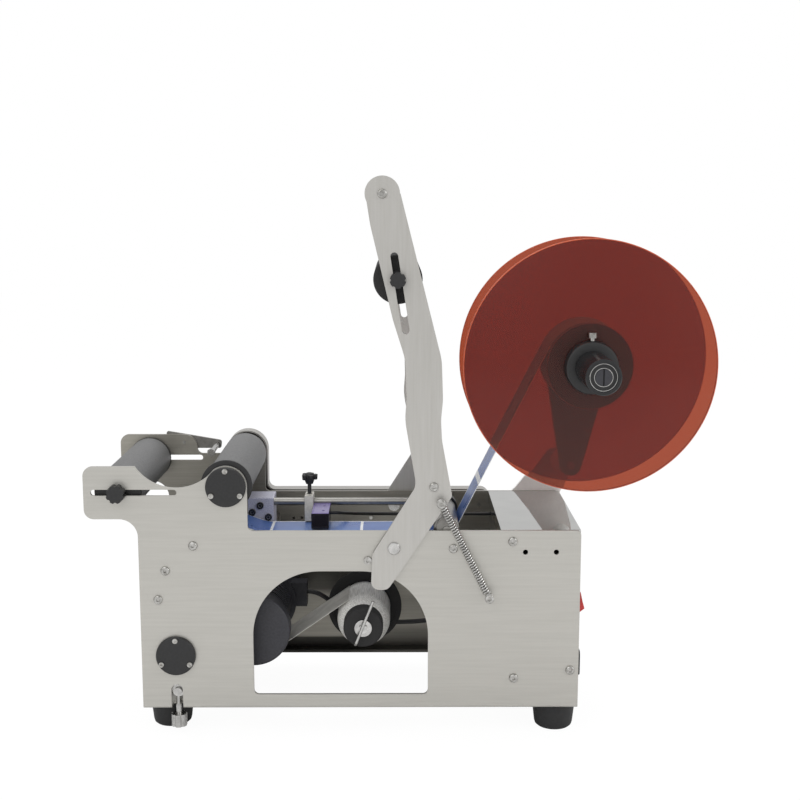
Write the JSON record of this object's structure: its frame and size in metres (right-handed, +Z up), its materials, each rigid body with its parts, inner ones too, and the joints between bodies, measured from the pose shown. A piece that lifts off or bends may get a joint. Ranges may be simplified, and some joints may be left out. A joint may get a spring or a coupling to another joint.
{
  "type": "bottle labelling machine",
  "caption": "Benchtop machine that turns a bottle on two rollers, peels labels from a reel over a plate edge, and winds the backing paper on a drum below.",
  "frame": {"origin": "middle of the footprint box, on the floor under the feet", "axes": "+X along the side plates towards the label reel, +Y from the front with the window to the drive side, +Z up"},
  "size_m": [0.6198, 0.253, 0.5523],
  "materials": {
    "frame_steel": "brushed",
    "post_steel": "brushed",
    "deck": "mirror polished",
    "bright_steel": "bright",
    "rubber": "matte",
    "black_plastic": "satin",
    "red_plastic": "gloss",
    "roller_grey": "matte",
    "sensor_case": "gloss",
    "block": "cast, painted",
    "motor": "painted",
    "cable": "matte",
    "labels": "printed labels on backing",
    "liner": "silicone backing paper",
    "disc": "tinted clear sheet",
    "aluminium": "turned"
  },
  "bodies": {
    "root": {"near_side_plate": "frame_steel", "far_side_plate": "frame_steel", "frame_screws": "bright_steel", "frame_bars": "bright_steel", "frame_pins": "bright_steel", "rubber_feet": "rubber", "roller_bearings": "black_plastic", "end_panel": "frame_steel", "compartment_panels": "frame_steel", "top_deck": "deck", "power_fittings": "black_plastic", "label_table": "frame_steel", "table_block": "block", "label_web": "labels", "backing_web": "liner", "drive_cover": "frame_steel", "drive_belts": "cable", "drive_motor": "motor", "motor_cable": "cable", "guide_roller_brackets": "frame_steel", "reel_spindle": "bright_steel", "reel_link": "black_plastic", "reel_post": "post_steel", "bottle_stop_bracket": "frame_steel"},
    "arm": {"near_arm_plate": "frame_steel", "far_arm_plate": "frame_steel", "arm_bars": "aluminium", "arm_screws": "bright_steel"},
    "press_carriage": {"press_axle": "bright_steel"},
    "press_roll": {"press_roller": "rubber"},
    "spring": {"return_spring": "bright_steel"},
    "spring_end": {"spring_hook": "bright_steel"},
    "left_carriage": {"left_knobs": "black_plastic"},
    "left_roll": {"left_roller": "roller_grey", "left_roller_ends": "black_plastic"},
    "right_roll": {"right_roller": "roller_grey", "right_roller_flange": "black_plastic"},
    "traction": {"traction_roller": "roller_grey"},
    "motor_shaft": {"motor_pulley": "aluminium"},
    "take_up": {"take_up_drum": "black_plastic", "take_up_paper": "liner", "take_up_shaft": "bright_steel"},
    "clip": {"paper_clip": "bright_steel"},
    "pinch_arms": {"pinch_levers": "bright_steel"},
    "pinch_roll": {"pinch_roller": "roller_grey"},
    "closing_bolts": {"swing_bolts": "bright_steel"},
    "idler": {"idler_roller": "aluminium"},
    "guide": {"guide_roller": "aluminium", "guide_collar": "black_plastic"},
    "reel": {"reel_hub": "black_plastic", "far_disc": "disc", "label_roll": "labels"},
    "reel_front": {"near_disc": "disc", "disc_collar": "black_plastic"},
    "sensor": {"sensor_clamp": "aluminium", "label_sensor": "sensor_case", "sensor_cable": "cable"},
    "sensor_lock": {"sensor_knob": "black_plastic"},
    "switch": {"rocker": "red_plastic"},
    "stop": {"stop_bolt": "bright_steel"}
  },
  "joints": [
    {"name": "right_roller_spin", "type": "hinge", "parent": "root", "child": "right_roll", "pos_m": [-0.1713, -0.01445, 0.2546], "axis": [0, -1, 0], "continuous": true},
    {"name": "traction_spin", "type": "hinge", "parent": "root", "child": "traction", "pos_m": [-0.224, -0.01445, 0.0839], "axis": [0, -1, 0], "continuous": true},
    {"name": "motor_spin", "type": "hinge", "parent": "root", "child": "motor_shaft", "pos_m": [-0.1495, -0.01445, 0.1019], "axis": [0, -1, 0], "continuous": true},
    {"name": "take_up_spin", "type": "hinge", "parent": "root", "child": "take_up", "pos_m": [-0.039, -0.01445, 0.1047], "axis": [0, -1, 0], "continuous": true},
    {"name": "clip_slide", "type": "slide", "parent": "take_up", "child": "clip", "axis": [0, -1, 0], "range_m": [0, 0.06]},
    {"name": "left_roller_shift", "type": "slide", "parent": "root", "child": "left_carriage", "axis": [-1, 0, 0], "range_m": [-0.048, 0.0222]},
    {"name": "left_roller_spin", "type": "hinge", "parent": "left_carriage", "child": "left_roll", "pos_m": [-0.2771, -0.01445, 0.2488], "axis": [0, -1, 0], "continuous": true},
    {"name": "pinch_open", "type": "hinge", "parent": "root", "child": "pinch_arms", "pos_m": [-0.2081, -0.01445, 0.046], "axis": [0, 1, 0], "range_deg": [0, 12], "deforming": ["backing_web"]},
    {"name": "pinch_spin", "type": "hinge", "parent": "pinch_arms", "child": "pinch_roll", "pos_m": [-0.2004, -0.01445, 0.0674], "axis": [0, -1, 0], "continuous": true},
    {"name": "bolt_swing", "type": "hinge", "parent": "pinch_arms", "child": "closing_bolts", "pos_m": [-0.2235, -0.01445, 0.045], "axis": [0, 1, 0], "range_deg": [-12, 0]},
    {"name": "idler_spin", "type": "hinge", "parent": "root", "child": "idler", "pos_m": [-0.1778, -0.01445, 0.0509], "axis": [0, -1, 0], "continuous": true},
    {"name": "guide_spin", "type": "hinge", "parent": "root", "child": "guide", "pos_m": [0.0437, -0.01445, 0.2104], "axis": [0, -1, 0], "continuous": true},
    {"name": "arm_turn", "type": "hinge", "parent": "root", "child": "arm", "pos_m": [-0.0079, -0.01445, 0.1939], "axis": [0, -1, 0], "range_deg": [0, 65]},
    {"name": "press_slide", "type": "slide", "parent": "arm", "child": "press_carriage", "axis": [-0.1527, 0, 0.9883], "range_m": [-0.04, 0.018]},
    {"name": "press_spin", "type": "hinge", "parent": "press_carriage", "child": "press_roll", "pos_m": [-0.00397, -0.01445, 0.45508], "axis": [0, -1, 0], "continuous": true},
    {"name": "spring_turn", "type": "hinge", "parent": "root", "child": "spring", "pos_m": [0.0853, -0.08345, 0.1453], "axis": [0, -1, 0], "range_deg": [0, 20.05]},
    {"name": "spring_stretch", "type": "slide", "parent": "spring", "child": "spring_end", "axis": [-0.4476, 0, 0.8942], "range_m": [0, 0.05354], "deforming": ["return_spring", "spring_hook"]},
    {"name": "reel_spin", "type": "hinge", "parent": "root", "child": "reel", "pos_m": [0.1849, -0.01445, 0.3685], "axis": [0, -1, 0], "continuous": true},
    {"name": "disc_slide", "type": "slide", "parent": "reel", "child": "reel_front", "axis": [0, -1, 0], "range_m": [0, 0.06]},
    {"name": "sensor_slide", "type": "slide", "parent": "root", "child": "sensor", "axis": [1, 0, 0], "range_m": [-0.025, 0.09], "deforming": ["sensor_cable"]},
    {"name": "sensor_knob_turn", "type": "hinge", "parent": "sensor", "child": "sensor_lock", "pos_m": [-0.0966, 0.02255, 0.23], "axis": [0, 0, 1], "range_deg": [-90, 90]},
    {"name": "rocker_turn", "type": "hinge", "parent": "root", "child": "switch", "pos_m": [0.1739, -0.04745, 0.132], "axis": [0, 1, 0], "range_deg": [0, 28]},
    {"name": "stop_slide", "type": "slide", "parent": "root", "child": "stop", "axis": [0, 1, 0], "range_m": [-0.008, 0.034]}
  ],
  "couplings": [
    {"joint": "traction_spin", "follows": "right_roller_spin", "ratio": 1},
    {"joint": "motor_spin", "follows": "right_roller_spin", "ratio": 1.5},
    {"joint": "take_up_spin", "follows": "right_roller_spin", "ratio": 1.2},
    {"joint": "bolt_swing", "follows": "pinch_open", "ratio": -1},
    {"joint": "spring_turn", "follows": "arm_turn", "ratio": 0.30773},
    {"joint": "spring_stretch", "follows": "arm_turn", "m_per_rad": 0.047021}
  ]
}
